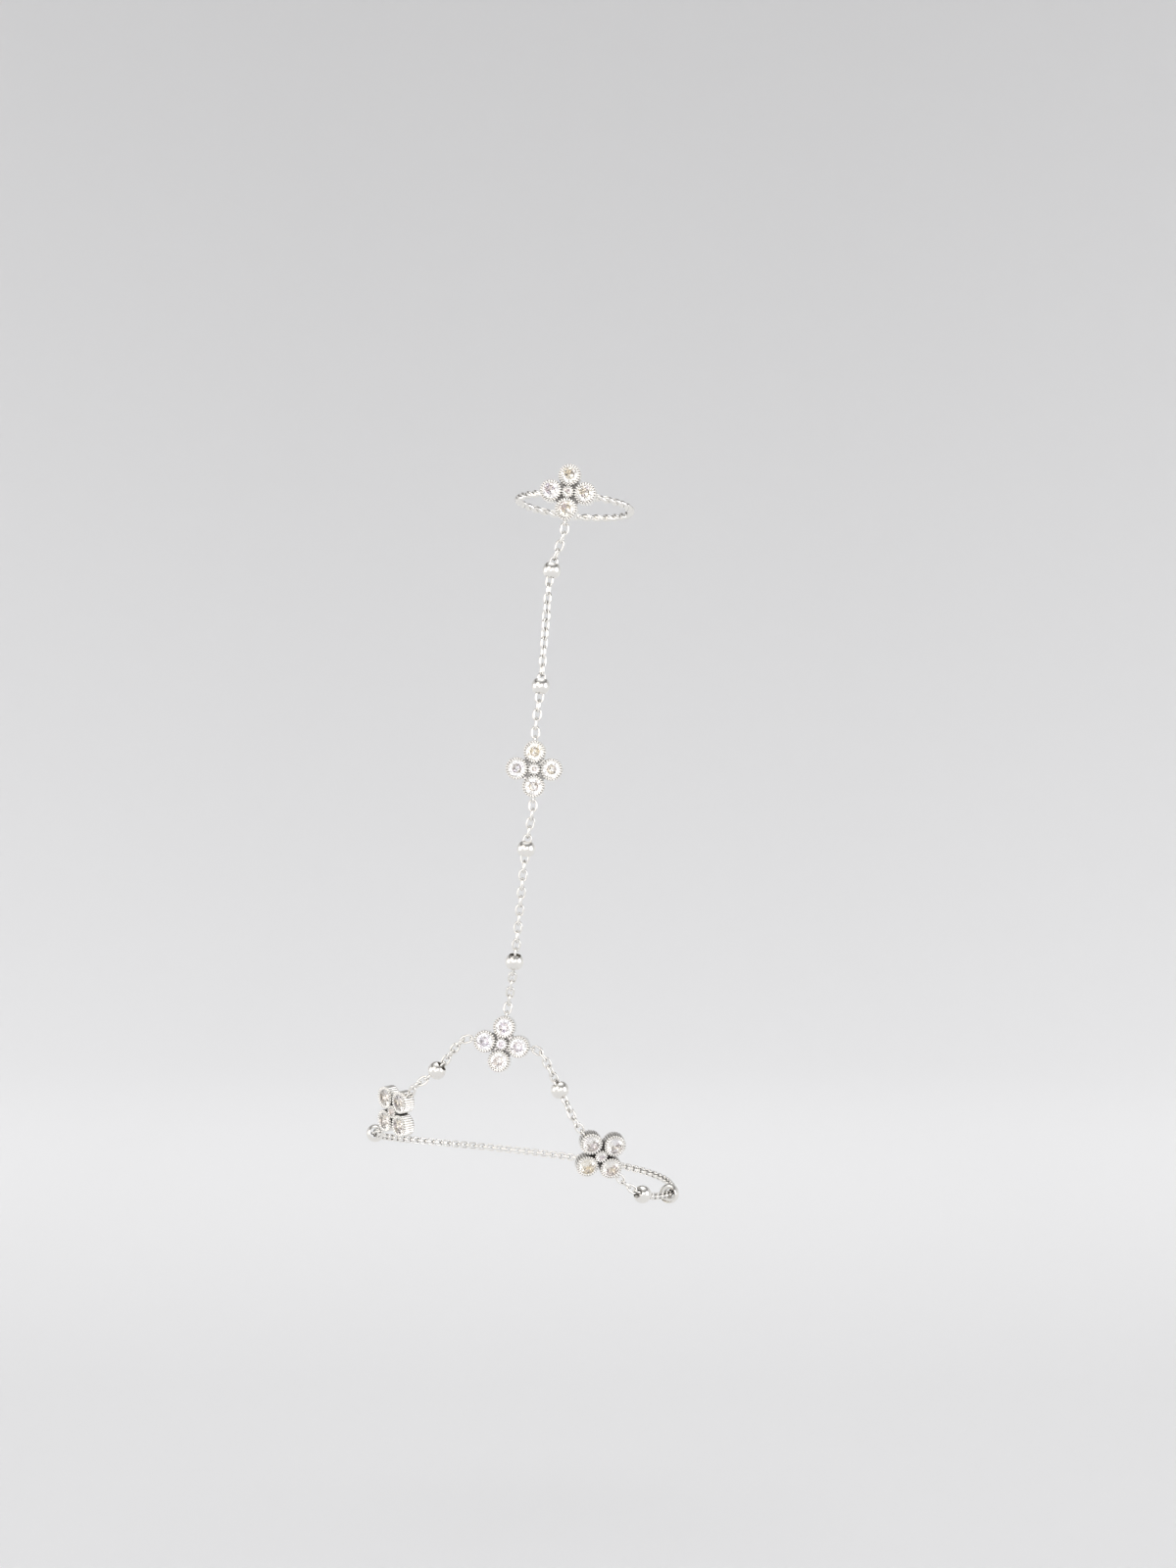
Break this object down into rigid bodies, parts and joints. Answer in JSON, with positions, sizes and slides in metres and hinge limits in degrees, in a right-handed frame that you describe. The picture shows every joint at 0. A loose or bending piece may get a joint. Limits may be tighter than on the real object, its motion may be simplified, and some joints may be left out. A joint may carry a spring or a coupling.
{
  "type": "hand chain bracelet",
  "caption": "Silver-tone hand chain: a wrist loop with stone-set flowers joined by a beaded chain along the hand to a twisted finger ring.",
  "frame": {"origin": "middle of the wrist, inside the wrist loop", "axes": "+Z along the hand to the fingers, -Y out of the back of the hand, +X to the wearer's right as the back of the hand is seen"},
  "size_m": [0.0547, 0.0467, 0.1276],
  "materials": {
    "silver": "bright polished silver-tone plate on chains, beads, settings and the twisted ring",
    "crystal": "clear faceted crystal stones"
  },
  "bodies": {
    "root": {"ring": "silver", "hand_flower": "silver", "wrist_flower": "silver", "left_flower": "silver", "right_flower": "silver", "hand_bead_1": "silver", "hand_bead_2": "silver", "hand_bead_3": "silver", "hand_bead_4": "silver", "left_bead": "silver", "right_bead": "silver", "left_end_bead": "silver", "right_end_bead": "silver", "closure_bead": "silver", "hand_chain_upper": "silver", "hand_chain_lower": "silver", "wrist_chain_left": "silver", "wrist_chain_right": "silver", "end_chain_left": "silver", "end_chain_right": "silver", "box_chain": "silver", "ring_stone_1": "crystal", "ring_stone_2": "crystal", "ring_stone_3": "crystal", "ring_stone_4": "crystal", "ring_stone_5": "crystal", "hand_stone_1": "crystal", "hand_stone_2": "crystal", "hand_stone_3": "crystal", "hand_stone_4": "crystal", "hand_stone_5": "crystal", "wrist_stone_1": "crystal", "wrist_stone_2": "crystal", "wrist_stone_3": "crystal", "wrist_stone_4": "crystal", "wrist_stone_5": "crystal", "left_stone_1": "crystal", "left_stone_2": "crystal", "left_stone_3": "crystal", "left_stone_4": "crystal", "left_stone_5": "crystal", "right_stone_1": "crystal", "right_stone_2": "crystal", "right_stone_3": "crystal", "right_stone_4": "crystal", "right_stone_5": "crystal"}
  },
  "joints": []
}
